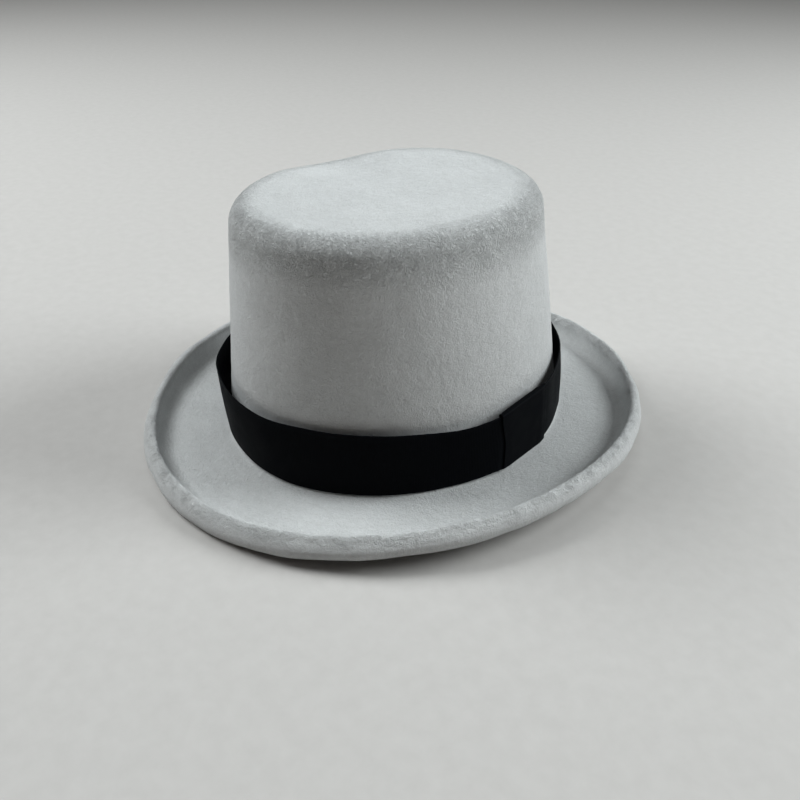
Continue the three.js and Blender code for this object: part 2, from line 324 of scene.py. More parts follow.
def new_material(name):
    material = bpy.data.materials.new(name)
    material.use_nodes = True
    tree = material.node_tree
    shader = tree.nodes["Principled BSDF"]
    return material, tree, shader


def noise_at(tree, place_socket, scale, detail=4.0, roughness=0.55):
    made = node(
        tree,
        "ShaderNodeTexNoise",
        {"Vector": place_socket, "Scale": scale, "Detail": detail, "Roughness": roughness},
    )
    return made.outputs["Fac"]


def stretched(tree, place_socket, scale):
    return node(tree, "ShaderNodeMapping", {"Vector": place_socket, "Scale": scale}).outputs["Vector"]


def ranged(tree, value, low, high, to_low=0.0, to_high=1.0):
    made = node(
        tree,
        "ShaderNodeMapRange",
        {"Value": value, "From Min": low, "From Max": high, "To Min": to_low, "To Max": to_high},
    )
    return made.outputs["Result"]


def mixed(tree, share, a, b):
    """Two colours mixed; the mix node holds its colour sockets at 6 and 7 in, and at 2 out."""
    made = node(tree, "ShaderNodeMix", data_type="RGBA")
    for index, value in ((0, share), (6, a), (7, b)):
        feed(tree, made, index, value)
    return made.outputs[2]


def maths(tree, kind, a, b=0.0):
    made = node(tree, "ShaderNodeMath", operation=kind)
    feed(tree, made, 0, a)
    feed(tree, made, 1, b)
    return made.outputs[0]


def bumped(tree, height, distance, strength, under=None):
    inputs = {"Height": height, "Distance": distance, "Strength": strength}
    if under is not None:
        inputs["Normal"] = under
    return node(tree, "ShaderNodeBump", inputs).outputs["Normal"]


def object_place(tree):
    return node(tree, "ShaderNodeTexCoord").outputs["Object"]


def marked(tree, name):
    return node(tree, "ShaderNodeAttribute", attribute_name=name).outputs["Fac"]


FELT_TINT = (0.985, 1.0, 0.998)


def felt_grey(value):
    return (value * FELT_TINT[0], value * FELT_TINT[1], value * FELT_TINT[2], 1)


def felt_material():
    """Pressed wool: cloudy tone, matted curls of fibre about a millimetre long, and a fine nap."""
    material, tree, shader = new_material("pressed_wool_felt")
    at = object_place(tree)
    clouds = noise_at(tree, at, 38, 3)
    mottle = noise_at(tree, at, 260, 4, 0.6)
    curls = node(
        tree,
        "ShaderNodeTexNoise",
        {"Vector": at, "Scale": 500.0, "Detail": 3.0, "Roughness": 0.66, "Distortion": 1.8},
    ).outputs["Fac"]
    nap = noise_at(tree, at, 1900, 3, 0.65)
    # This mark is partly real: stronger curls of nap at the tip's edge and on the lip's crest. It also
    # lightens the felt there, which is a painted highlight.
    nap_and_highlight = marked(tree, "nap_and_painted_highlight")
    tones = felt_grey(0.50), felt_grey(0.565)
    colour = mixed(tree, ranged(tree, clouds, 0.35, 0.65), *tones)
    colour = mixed(tree, ranged(tree, mottle, 0.3, 0.7, 0, 0.5), colour, felt_grey(0.61))
    woolly = ranged(tree, nap_and_highlight, 0, 1, 0.24, 0.85)
    dark_curls = maths(tree, "MULTIPLY", ranged(tree, curls, 0.5, 0.34), woolly)
    light_curls = maths(tree, "MULTIPLY", ranged(tree, curls, 0.54, 0.68), woolly)
    colour = mixed(tree, dark_curls, colour, felt_grey(0.38))
    colour = mixed(tree, light_curls, colour, felt_grey(0.8))
    colour = mixed(tree, ranged(tree, nap, 0.4, 0.8, 0, 0.12), colour, felt_grey(0.38))
    # Darker felt from this mark: real soil in patches on the lip's outer face, and painted shade meant
    # for the felt near the band, which in effect lies faintly over the crown's wall.
    colour = mixed(tree, marked(tree, "soil_and_painted_shade"), colour, (0.41, 0.4, 0.4, 1))
    # Painted highlight: lighter felt along the tip's edge and the lip's crest.
    colour = mixed(tree, maths(tree, "MULTIPLY", nap_and_highlight, 0.2), colour, felt_grey(0.68))
    tree.links.new(colour, shader.inputs["Base Color"])
    tree.links.new(ranged(tree, mottle, 0.3, 0.7, 0.9, 1.0), shader.inputs["Roughness"])
    matted = maths(tree, "MULTIPLY", curls, ranged(tree, nap_and_highlight, 0, 1, 0.6, 4.0))
    normal = bumped(tree, mottle, 0.0009, 0.6)
    normal = bumped(tree, matted, 0.0013, 0.9, normal)
    normal = bumped(tree, nap, 0.0002, 0.6, normal)
    tree.links.new(normal, shader.inputs["Normal"])
    shader.inputs["Specular IOR Level"].default_value = 0.1
    shader.inputs["Sheen Weight"].default_value = 0.3
    shader.inputs["Sheen Roughness"].default_value = 0.6
    shader.inputs["Sheen Tint"].default_value = (0.93, 0.98, 1.0, 1)
    return material


def ribbon_material():
    """Woven ribbon: fine ribs across its width, tight edges, and almost no shine."""
    material, tree, shader = new_material("ribbed_black_ribbon")
    along, across = marked(tree, "along"), marked(tree, "across")
    at = object_place(tree)
    rib = maths(tree, "SINE", maths(tree, "MULTIPLY", along, TURN / 0.00085))
    ribs = ranged(tree, rib, -1, 1)
    weft = maths(tree, "SINE", maths(tree, "MULTIPLY", across, TURN / 0.0006))
    wefts = ranged(tree, weft, -1, 1)
    clouds = noise_at(tree, at, 90, 4)
    lint = noise_at(tree, at, 2200, 2, 0.6)
    tones = (0.0011, 0.0014, 0.0021, 1), (0.002, 0.0025, 0.0036, 1)
    colour = mixed(tree, ranged(tree, clouds, 0.3, 0.7), *tones)
    colour = mixed(tree, maths(tree, "MULTIPLY", ribs, 0.4), colour, (0.0034, 0.0042, 0.0058, 1))
    colour = mixed(tree, ranged(tree, lint, 0.76, 0.86, 0, 0.15), colour, (0.02, 0.022, 0.025, 1))
    colour = mixed(tree, marked(tree, "selvedge"), colour, (0.0028, 0.0034, 0.0047, 1))
    tree.links.new(colour, shader.inputs["Base Color"])
    tree.links.new(ranged(tree, clouds, 0.3, 0.7, 0.5, 0.62), shader.inputs["Roughness"])
    normal = bumped(tree, clouds, 0.0009, 0.25)
    normal = bumped(tree, ribs, 0.00011, 0.55, normal)
    normal = bumped(tree, wefts, 0.00004, 0.4, normal)
    tree.links.new(normal, shader.inputs["Normal"])
    shader.inputs["Specular IOR Level"].default_value = 0.03
    return material


def leather_material():
    """Thin smooth leather with a fine cell grain, rubbed paler where it is worn."""
    material, tree, shader = new_material("sweatband_leather")
    at = object_place(tree)
    cells = node(
        tree, "ShaderNodeTexVoronoi", {"Vector": at, "Scale": 1400.0}, feature="DISTANCE_TO_EDGE"
    )
    grain = ranged(tree, cells.outputs["Distance"], 0.0, 0.25)
    clouds = noise_at(tree, at, 60, 4)
    creases = noise_at(tree, stretched(tree, at, (1, 1, 5)), 120, 3, 0.6)
    tones = (0.013, 0.0115, 0.0105, 1), (0.024, 0.021, 0.019, 1)
    colour = mixed(tree, ranged(tree, clouds, 0.3, 0.7), *tones)
    in_grain = maths(tree, "MULTIPLY", ranged(tree, grain, 1, 0), 0.45)
    colour = mixed(tree, in_grain, colour, (0.006, 0.0055, 0.005, 1))
    colour = mixed(tree, marked(tree, "worn"), colour, (0.05, 0.043, 0.038, 1))
    tree.links.new(colour, shader.inputs["Base Color"])
    tree.links.new(ranged(tree, clouds, 0.3, 0.7, 0.42, 0.58), shader.inputs["Roughness"])
    normal = bumped(tree, creases, 0.0008, 0.35)
    normal = bumped(tree, grain, 0.00012, 0.6, normal)
    tree.links.new(normal, shader.inputs["Normal"])
    shader.inputs["Specular IOR Level"].default_value = 0.45
    return material


def tape_material():
    """Narrow woven tape, with a fine slanting twill."""
    material, tree, shader = new_material("woven_trim_tape")
    at = object_place(tree)
    up = node(tree, "ShaderNodeSeparateXYZ", {"Vector": at})
    x, z = up.outputs["X"], up.outputs["Z"]
    twill = maths(tree, "SINE", maths(tree, "MULTIPLY", maths(tree, "ADD", x, z), TURN / 0.0007))
    ribs = ranged(tree, twill, -1, 1)
    fine = noise_at(tree, at, 900, 3)
    colour = mixed(tree, ribs, (0.006, 0.006, 0.0075, 1), (0.015, 0.015, 0.018, 1))
    colour = mixed(tree, ranged(tree, fine, 0.45, 0.75, 0, 0.5), colour, (0.026, 0.026, 0.03, 1))
    tree.links.new(colour, shader.inputs["Base Color"])
    tree.links.new(ranged(tree, fine, 0.3, 0.7, 0.5, 0.7), shader.inputs["Roughness"])
    tree.links.new(bumped(tree, ribs, 0.0001, 0.6), shader.inputs["Normal"])
    shader.inputs["Sheen Weight"].default_value = 0.2
    return material


def tab_material():
    """Plain woven cloth, slightly soiled."""
    material, tree, shader = new_material("blank_woven_tab")
    at = object_place(tree)
    split = node(tree, "ShaderNodeSeparateXYZ", {"Vector": at})
    warp = maths(tree, "SINE", maths(tree, "MULTIPLY", split.outputs["X"], TURN / 0.00045))
    weft = maths(tree, "SINE", maths(tree, "MULTIPLY", split.outputs["Z"], TURN / 0.00045))
    weave = ranged(tree, maths(tree, "MULTIPLY", warp, weft), -1, 1)
    soiling = noise_at(tree, at, 160, 4)
    colour = mixed(tree, weave, (0.56, 0.54, 0.48, 1), (0.72, 0.7, 0.64, 1))
    colour = mixed(tree, ranged(tree, soiling, 0.45, 0.75, 0, 0.35), colour, (0.46, 0.42, 0.34, 1))
    tree.links.new(colour, shader.inputs["Base Color"])
    tree.links.new(ranged(tree, soiling, 0.3, 0.7, 0.7, 0.88), shader.inputs["Roughness"])
    tree.links.new(bumped(tree, weave, 0.0001, 0.6), shader.inputs["Normal"])
    return material


def satin_material():
    """Light satin: long fine threads with a few slubs."""
    material, tree, shader = new_material("lining_satin")
    at = object_place(tree)
    threads = noise_at(tree, stretched(tree, at, (1, 1, 0.04)), 3200, 2, 0.5)
    slubs = noise_at(tree, stretched(tree, at, (1, 1, 8)), 45, 3)
    clouds = noise_at(tree, at, 30, 3)
    colour = mixed(tree, ranged(tree, clouds, 0.3, 0.7), (0.56, 0.54, 0.5, 1), (0.64, 0.62, 0.58, 1))
    colour = mixed(tree, ranged(tree, threads, 0.35, 0.7, 0, 0.3), colour, (0.44, 0.42, 0.385, 1))
    colour = mixed(tree, ranged(tree, slubs, 0.55, 0.8, 0, 0.25), colour, (0.72, 0.7, 0.66, 1))
    tree.links.new(colour, shader.inputs["Base Color"])
    tree.links.new(ranged(tree, slubs, 0.3, 0.7, 0.28, 0.42), shader.inputs["Roughness"])
    normal = bumped(tree, threads, 0.00008, 0.5)
    normal = bumped(tree, clouds, 0.0015, 0.2, normal)
    tree.links.new(normal, shader.inputs["Normal"])
    shader.inputs["Sheen Weight"].default_value = 0.25
    shader.inputs["Anisotropic"].default_value = 0.4
    return material


def thread_material(name, colour):
    """Twisted sewing thread."""
    material, tree, shader = new_material(name)
    at = object_place(tree)
    twist = noise_at(tree, stretched(tree, at, (1, 1, 3)), 3000, 2)
    dark = tuple(0.55 * c for c in colour) + (1,)
    tone = mixed(tree, ranged(tree, twist, 0.35, 0.65), dark, colour + (1,))
    tree.links.new(tone, shader.inputs["Base Color"])
    tree.links.new(ranged(tree, twist, 0.35, 0.65, 0.6, 0.8), shader.inputs["Roughness"])
    tree.links.new(bumped(tree, twist, 0.0001, 0.5), shader.inputs["Normal"])
    return material


felt = felt_material()
ribbon = ribbon_material()
leather = leather_material()
tape = tape_material()
tab_cloth = tab_material()
satin = satin_material()
black_thread = thread_material("black_thread", (0.02, 0.02, 0.022))

# ------------------------------------------------ felt body

FELT_COLUMNS = 480
PROFILE_SPACING = 1.7
NAP_SCALE = 0.006


def felt_profile():
    """From the middle of the tip down the outside, round the rolled lip, and back up the inside."""
    lean = math.degrees(math.atan2(CROWN_TAPER, CROWN_HEIGHT))
    rim = RIM_RADIUS + GAP
    break_centre = (WALL_RADIUS + BREAK_RADIUS, BREAK_RADIUS)
    tip_edge = (TIP_FLAT_RADIUS, CROWN_HEIGHT - TIP_EDGE_RADIUS)
    roll = (rim - LIP_ROLL[0], LIP_ROLL[1] - FELT)
    nose = (roll[0] + 0.2, LIP_HEIGHT - LIP_NOSE)
    slope = math.radians(LIP_SLOPE)
    rise = (LIP_HEIGHT - (LIP_NOSE + LIP_BEND) * (1 - math.sin(slope))) / math.cos(slope)
    reach = (LIP_NOSE + LIP_BEND) * math.cos(slope) + rise * math.sin(slope)
    bend = (nose[0] - reach, LIP_BEND)
    around = arc_points((0, 0), 1, 66, -90, 26)
    outer_face = np.array(roll) + around * np.array(LIP_ROLL)
    points = np.concatenate(
        [
            [(0, CROWN_HEIGHT)],
            arc_points(tip_edge, TIP_EDGE_RADIUS, 90, lean, 14),
            arc_points(break_centre, BREAK_RADIUS, 180, 270, 8),
            arc_points(bend, LIP_BEND, -90, -LIP_SLOPE, 14),
            arc_points(nose, LIP_NOSE, 180 - LIP_SLOPE, 62, 10),
            outer_face,
            arc_points(break_centre, BREAK_RADIUS + FELT, 270, 180, 10),
            arc_points(tip_edge, TIP_EDGE_RADIUS - FELT, lean, 90, 12),
            [(0, CROWN_HEIGHT - FELT)],
        ]
    )
    return divided(points, PROFILE_SPACING)


def felt_place(radius, height, angle):
    """The lip was rolled up taller over the wearer's back left, and is lowest at the front left."""
    taller = 1 - smooth(between(angle, LIP_TALLER_ANGLE), 0, LIP_TALLER_SPREAD)
    lower = 1 - smooth(between(angle, LIP_LOWER_ANGLE), *LIP_LOWER_SPREAD)
    on_lip = smooth(radius, RIM_RADIUS - 9, RIM_RADIUS - 2) * smooth(height, 1, LIP_HEIGHT - 1)
    return place(radius, height + (LIP_TALLER * taller - LIP_LOWER * lower) * on_lip, angle)


def felt_body():
    profile = felt_profile()
    piece = turned("felt_body_skin", profile, FELT_COLUMNS, felt_place)
    co = vertices_of(piece)
    rings = np.repeat(profile[1:-1], FELT_COLUMNS, 0)
    radius = np.concatenate([rings[:, 0], [0, 0]])
    height = np.concatenate([rings[:, 1], [CROWN_HEIGHT, CROWN_HEIGHT - FELT]])
    outside = np.arange(len(radius)) < len(radius) / 2

    patchy = clouds_over(co, 130, 0.9, 0.8)
    on_lip = smooth(height, LIP_HEIGHT - 3.2, LIP_HEIGHT - 0.6) * (radius > RIM_RADIUS - 8)
    on_tip_edge = smooth(height, CROWN_HEIGHT - 30, CROWN_HEIGHT - 9) * smooth(radius, 64, 79) * outside
    # Where the nap stands up, at the lip's crest and the tip's edge. The material also lightens the felt
    # there as a painted highlight.
    nap_and_highlight = 0.45 * on_lip * patchy + 0.75 * on_tip_edge * (0.5 + 0.5 * patchy)
    mark(piece, "nap_and_painted_highlight", np.clip(nap_and_highlight, 0, 1))

    smudges = clouds_over(co, 210, 0.8, 0.9, (9, 4, 7))
    outer_wall = smooth(radius, RIM_RADIUS - 3, RIM_RADIUS - 1)
    outer_wall = outer_wall * smooth(height, LIP_HEIGHT - 1, LIP_HEIGHT - 4) * smooth(height, -2.6, 1)
    # Painted shade, meant to darken the felt near the band. between takes these lengths as angles, so
    # this tints the crown's wall and, faintly, rings about 6 mm apart on the tip and the brim, and not
    # only the felt behind the band.
    painted_band_shade = smooth(between(height, 40), 9, 0) * (between(radius, wall_radius(height)) < 1)
    # This mark darkens the felt: real soil in patches on the lip's outer face, and the painted shade
    # above.
    mark(piece, "soil_and_painted_shade", np.clip(0.12 * outer_wall * smudges + 0.12 * painted_band_shade, 0, 1))

    roughened(piece, 0.034, 0.00022)
    roughened(piece, NAP_SCALE, 0.00011)
    roughened(piece, 0.0026, 0.0002, on_lip)
    roughened(piece, 0.03, 0.0007, smooth(radius, RIM_RADIUS - 9, RIM_RADIUS - 1))
    co = vertices_of(piece)
    co[:, 2] = np.maximum(co[:, 2], 0)
    move_vertices(piece, co)
    return finished(piece, "hat", felt, "felt_body")


# ------------------------------------------------ ribbon band and keeper

KEEPER_HALF = arc(KEEPER_WIDTH, KEEPER_ANGLE) / 2
BAND_HIGH = BAND_LOW + BAND_HEIGHT
BAND_STEPS = 900
BAND_LOW_POINT = math.radians(-42)
KEEPER_PULL = math.radians(-12)  # the keeper draws the band's upper edge down and out beside it


def keeper_bulge(angle):
    offset = between(angle, KEEPER_ANGLE)
    depth = 1 / np.cos(np.minimum(offset, KEEPER_HALF)) - 1
    return WALL_RADIUS * depth * (1 - smooth(offset, KEEPER_HALF, KEEPER_HALF + KEEPER_EASE))


def band_slack(angle):
    return SLACK_GAP * (1 - smooth(between(angle, SLACK_ANGLE), 0, SLACK_SPREAD))


def band_share(height):
    """From 0 at the band's lower edge to 1 at its upper edge."""
    return (height - BAND_LOW) / BAND_HEIGHT


def band_radius(angle, height):
    """The inner face of the band."""
    top_gap = BAND_TOP_GAP + band_slack(angle)
    gap = BAND_FOOT_GAP + (top_gap - BAND_FOOT_GAP) * band_share(height)
    return wall_radius(height) + gap + keeper_bulge(angle)


def band_rise(angle, height):
    """How far the wound ribbon has ridden up the crown: least at its low point near the front."""
    share = band_share(height)
    off_low_point = smooth(between(angle, BAND_LOW_POINT), math.radians(22), math.radians(72))
    pulled = 1 - smooth(between(angle, KEEPER_PULL), 0, math.radians(22))
    return off_low_point * (3.9 - 1.2 * share) - 0.9 * (1 - share) - 1.7 * pulled * share


def band_relax(angle, height):
    """Soft waves that a wound ribbon keeps away from its keeper, which pulls its edge out."""
    free = smooth(between(angle, KEEPER_ANGLE), KEEPER_HALF + 0.1, KEEPER_HALF + 0.5)
    share = band_share(height)
    wave = 0.35 * np.sin(9 * angle + 1.5 * share) + 0.22 * np.sin(17 * angle - 2.6 * share + 1)
    belly = 0.5 * np.sin(math.pi * share)
    flare = 2.6 * share * (1 - smooth(between(angle, KEEPER_PULL + 0.2), 0, math.radians(60)))
    return free * (wave * (0.3 + 0.7 * share) + belly) + flare


def hat_band():
    lap, ramp = arc(BAND_LAP, KEEPER_ANGLE), arc(BAND_LAP_RAMP, KEEPER_ANGLE)
    first = KEEPER_ANGLE - lap / 2
    last = first + TURN + lap
    angle = np.linspace(first, last, BAND_STEPS)[:, None]
    height, depth = (a[None, :] for a in flat_loop(BAND_LOW, BAND_HIGH, RIBBON, 26))
    climb = (RIBBON + GAP) * smooth(angle, last - lap - ramp, last - lap)
    edge = np.minimum(height - BAND_LOW, BAND_HIGH - height)
    selvedge = 1 - smooth(edge, 0.7, 1.6)
    thin = (depth - RIBBON / 2) * -0.22 * (1 - selvedge)
    radius = band_radius(angle, height) + band_relax(angle, height) + climb + depth + thin
    piece = swept("ribbon_band", place(radius, height + band_rise(angle, height), angle), closed=False)
    shape = np.broadcast_shapes(angle.shape, height.shape)
    mark(piece, "along", np.broadcast_to(angle * WALL_RADIUS * MM, shape))
    mark(piece, "across", np.broadcast_to(height * MM, shape))
    mark(piece, "selvedge", np.broadcast_to(selvedge, shape))
    finished(piece, "band", ribbon, "hat_band")
    return piece


def band_keeper():
    """A short ribbon wrapped round the lapped ends of the band: a flat sleeve with soft folds."""
    depth, wall = 2 * RIBBON + 3 * GAP, KEEPER_THICKNESS
    low, high = BAND_LOW - GAP, BAND_HIGH + GAP
    fold = 0.35
    corners = [
        arc_points((depth - fold, low + fold), fold, -90, 0, 6),
        arc_points((depth - fold, high - fold), fold, 0, 90, 6),
        arc_points((fold, high - fold), fold, 90, 180, 6),
        arc_points((fold, low + fold), fold, 180, 270, 6),
    ]
    middle = divided(np.concatenate(corners + [corners[0][:1]]), 1.2)[:-1]
    ahead, behind = np.roll(middle, -1, 0), np.roll(middle, 1, 0)
    along = ahead - behind
    out = np.stack([along[:, 1], -along[:, 0]], 1)
    out /= np.linalg.norm(out, axis=1)[:, None]
    side = KEEPER_WIDTH / 2
    across, lift = (a[None, :] for a in flat_loop(-side, side, wall, 34, 6))
    section = middle[:, None, :] + out[:, None, :] * lift[..., None]
    depth_at, height = section[..., 0], section[..., 1]
    share = (height - low) / (high - low)
    near_front = 0.35 + 0.65 * smooth(across, -side, side)
    drawn = 3.4 * near_front * smooth(1 - share, 0, 0.6) * smooth(depth_at, 0, depth)
    angle = KEEPER_ANGLE - (across - drawn) * KEEPER_HALF / side
    pinch = 0.3 * smooth(across, side - 6, side) + 0.9 * smooth(-across, side - 6, side)
    radius = band_radius(angle, height) + band_relax(angle, height) - GAP + depth_at
    radius = radius - pinch * smooth(depth_at, 0.5 * depth, depth)
    points = place(radius, height + band_rise(angle, height), angle)
    piece = swept("band_keeper_loop", points, closed=True)
    shape = radius.shape
    travelled = np.cumsum(np.linalg.norm(middle - behind, axis=1))
    mark(piece, "along", np.broadcast_to(across * MM, shape))
    mark(piece, "across", np.broadcast_to(travelled[:, None] * MM, shape))
    mark(piece, "selvedge", np.broadcast_to(smooth(np.abs(across), side - 1.6, side - 0.7), shape))
    finished(piece, "band", ribbon, "band_keeper")
    return piece


# ------------------------------------------------ sweatband and its trims

BAND_STITCH = 3.4
STITCH_LENGTH = 2.4
STITCH_RADIUS = 0.24
STITCH_HEIGHT = 4.4


def sweatband_radius(height):
    """The face of the sweatband that is worn against the head."""
    return wall_radius(height) - WALL_INSET


def sweatband_share(height):
    """From 0 at the sweatband's lower edge to 1 at its upper edge."""
    return (height - SWEATBAND_LOW) / (SWEATBAND_HIGH - SWEATBAND_LOW)


def sweatband_free(angle):
    """0 at the back, where the seam tape holds the leather flat, and 1 away from it."""
    return smooth(between(angle, BACK), 0.02, 0.2)


def sweatband_inward(height, angle):
    """How far the leather stands in from its CAD line, as a belly and soft waves."""
    share = sweatband_share(height)
    wave = 0.3 * np.sin(13 * angle + 2 * share) + 0.2 * np.sin(23 * angle - share)
    waves = wave * share * 0.5 * smooth(share, 1.0, 0.55)
    return sweatband_free(angle) * (0.35 * np.sin(math.pi * share) + waves)


def sweatband():
    seam = arc(SWEATBAND_SEAM, BACK) / 2
    angle = np.linspace(BACK + seam, BACK + TURN - seam, 520)[:, None]
    height, depth = (a[None, :] for a in flat_loop(SWEATBAND_LOW, SWEATBAND_HIGH, SWEATBAND, 34))
    share = sweatband_share(height)
    top_edge = 0.45 * np.sin(7 * angle + 0.6) * smooth(share, 0.8, 1.0) * sweatband_free(angle)
    groove = 0.22 * np.exp(-(((height - STITCH_HEIGHT) / 0.5) ** 2)) * (depth < SWEATBAND / 2)
    radius = sweatband_radius(height) + depth - sweatband_inward(height, angle) + groove
    piece = swept("sweatband_leather", place(radius, height + top_edge, angle), closed=False)
    worn = smooth(share, 0.9, 1.0) * 0.4 + 0.12 * np.exp(-(((height - STITCH_HEIGHT) / 1.2) ** 2))
    mark(piece, "worn", np.broadcast_to(worn, radius.shape))
    finished(piece, "hat", leather, "sweatband")
    return piece


def stitch_row(name, starts, ends, radius, away, material):
    """A row of stitches, each a small closed spindle of thread from start to end."""
    sides, stations = 7, np.linspace(0, 1, 7)[1:-1]
    vertices, faces = [], []
    for start, end, up in zip(starts, ends, away):
        along = Vector(end - start)
        x = Vector(up).normalized()
        y = along.cross(x).normalized()
        base = len(vertices)
        vertices.append(tuple(start))
        for s in stations:
            width = radius * math.sin(math.pi * s) ** 0.45
            middle = Vector(start) + along * s + x * radius * 0.5 * math.sin(math.pi * s)
            for k in range(sides):
                turn = TURN * k / sides
                off = x * (width * math.cos(turn)) + y * (width * math.sin(turn))
                vertices.append(tuple(middle + off))
        vertices.append(tuple(end))
        last = len(vertices) - 1
        rings = len(stations)
        for k in range(sides):
            n = (k + 1) % sides
            faces.append((base, base + 1 + k, base + 1 + n))
            for r in range(rings - 1):
                a, b = base + 1 + r * sides, base + 1 + (r + 1) * sides
                faces.append((a + k, b + k, b + n, a + n))
            a = base + 1 + (rings - 1) * sides
            faces.append((a + k, last, a + n))
    piece = new_piece(name, vertices, faces)
    piece.data.materials.append(material)
    return piece


def sweatband_stitches():
    count = int(TURN * WALL_RADIUS * 0.955 / BAND_STITCH)
    middle = BACK + TURN * (np.arange(count) + 0.5) / count
    half = TURN / count * STITCH_LENGTH / BAND_STITCH / 2
    ends = []
    for angle in (middle - half, middle + half):
        radius = sweatband_radius(STITCH_HEIGHT) - sweatband_inward(STITCH_HEIGHT, angle) + 0.16
        ends.append(place(radius, STITCH_HEIGHT, angle))
    inward = -np.stack([np.cos(middle), np.sin(middle), np.zeros(count)], 1)
    keep = between(middle, BACK) > 0.06
    piece = stitch_row(
        "sweatband_stitches", ends[0][keep], ends[1][keep], STITCH_RADIUS * MM, inward[keep], black_thread
    )
    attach(piece, "hat")
    return piece


def piping():
    """A leather cover drawn round a thin reed, with the small slanted gathers of its seam."""
    angle = (np.arange(720) * TURN / 720)[:, None]
    turn = (np.arange(20) * TURN / 20)[None, :]
    centre = sweatband_radius(SWEATBAND_LOW) + SWEATBAND / 2
    gathers = 0.06 * np.sin(180 * angle + 1.5 * np.cos(turn)) * np.clip(np.sin(turn), 0, 1)
    reach = PIPING_RADIUS * (1 + gathers)
    radius, height = centre + reach * np.cos(turn), PIPING_HEIGHT + reach * np.sin(turn)
    piece = swept("sweatband_piping_roll", place(radius, height, angle + 0 * turn), closed=True)
    mark(piece, "worn", np.broadcast_to(0.25 * smooth(-np.sin(turn), 0.2, 1.0), radius.shape))
    return finished(piece, "hat", leather, "sweatband_piping")


def face_point(across, up, lift):
    """A point on the back of the sweatband's face: across and up in millimetres, and lift off it."""
    angle = BACK - across / (WALL_RADIUS + OVAL_AT_BRIM) * 1.15
    return place(sweatband_radius(up) - lift, up, angle)


TAPE_HALF = 6.0
TAPE = 0.5


def seam_tape():
    up = np.linspace(SWEATBAND_LOW + GAP, SWEATBAND_HIGH - GAP, 60)[:, None]
    across, depth = (a[None, :] for a in flat_loop(-TAPE_HALF, TAPE_HALF, TAPE, 12))
    lift = GAP + depth + 0.06 * np.sin(up * 1.3) * np.abs(across) / TAPE_HALF
    piece = swept("sweatband_tape", face_point(across + 0 * up, up + 0 * across, lift), closed=False)
    finished(piece, "hat", tape, "sweatband_seam_tape")
    return piece


BOW_HALF = 12.4
BOW_MIDDLE = 22.0
BOW_CLOTH = 0.36
BOW_WAIST = 2.2  # half the ribbon's height where it is gathered
BOW_END = 4.9  # half its height at the ends of the loops
KNOT_HALF_WIDTH = 2.2
KNOT_HALF_HEIGHT = 2.35
KNOT_HALF_DEPTH = 0.95
BOW_LIFT = KNOT_HALF_DEPTH + GAP + TAPE + 0.12  # middle of the bow and of its knot, off the leather


def bow():
    """One short ribbon closed into a ring, pressed flat and gathered at its waist into two loops."""
    turn = (np.arange(160) * TURN / 160)[:, None]
    across, depth = (a[None, :] for a in flat_loop(-1.0, 1.0, BOW_CLOTH, 16))
    across = np.clip(across, -1, 1)
    side = np.sin(turn)
    reach = BOW_HALF * np.sign(side) * np.abs(side) ** 0.8
    share = smooth(np.abs(reach), 0.8, BOW_HALF * 0.55)
    half_height = BOW_WAIST + (BOW_END - BOW_WAIST) * share
    folds = 0.3 * np.cos(across * 9) * (1 - share)
    opening = 0.25 + 0.85 * share * (1 - smooth(np.abs(reach), BOW_HALF * 0.82, BOW_HALF))
    lift = BOW_LIFT + np.cos(turn) * opening + depth * np.cos(turn) + folds
    end = depth * np.sign(side) * smooth(np.abs(side), 0.85, 1.0)
    up = BOW_MIDDLE + across * half_height + 0.35 * np.sin(reach * 0.5)
    piece = swept("sweatband_bow_loops", face_point(reach + end + 0 * across, up, lift), closed=True)
    return finished(piece, "hat", tape, "sweatband_bow")


def knot():
    """The ribbon's short wrap round the bow's waist."""
    turn = (np.arange(48) * TURN / 48)[:, None]
    across, depth = (a[None, :] for a in flat_loop(-KNOT_HALF_WIDTH, KNOT_HALF_WIDTH, BOW_CLOTH, 10))
    up = BOW_MIDDLE + (KNOT_HALF_HEIGHT + depth) * np.sin(turn) * (1 - 0.04 * across**2)
    lift = BOW_LIFT + (KNOT_HALF_DEPTH + depth + 0.12 * np.cos(across * 2.4)) * np.cos(turn)
    piece = swept("sweatband_bow_wrap", face_point(across + 0 * turn, up, lift), closed=True)
    return finished(piece, "hat", tape, "sweatband_bow_knot")


TAB_ANGLE = math.radians(68)
TAB_WIDTH = 17.0
TAB_LOW = 24.8
TAB_HIGH = 34.3
TAB = 0.4


def size_tab():
    half = arc(TAB_WIDTH, TAB_ANGLE) / 2
    angle = np.linspace(TAB_ANGLE - half, TAB_ANGLE + half, 44)[:, None]
    height, depth = (a[None, :] for a in flat_loop(TAB_LOW, TAB_HIGH, TAB, 20))
    across = (angle - TAB_ANGLE) / half
    curl = 0.5 * smooth(height, TAB_LOW + 2.7, TAB_LOW) * np.sin(across * 2.2 + 0.6) ** 2
    hem = smooth(height, TAB_HIGH - 2.5, TAB_HIGH - 1.9) + smooth(height, TAB_LOW + 2.1, TAB_LOW + 1.5)
    lift = GAP + TAB - depth + curl + 0.16 * hem * (depth < TAB / 2)
    radius = sweatband_radius(height) - sweatband_inward(height, angle) - lift
    piece = swept("size_tab_cloth", place(radius, height, angle), closed=False)
    finished(piece, "hat", tab_cloth, "size_tab")
    return piece


# ------------------------------------------------ lining

LINING_FOLDS = 84


def lining_radius(height):
    free = smooth(height, SWEATBAND_HIGH, SWEATBAND_HIGH + LINING_EASE)
    return wall_radius(height) - FELT - (GAP + (LINING_GAP - GAP) * free)


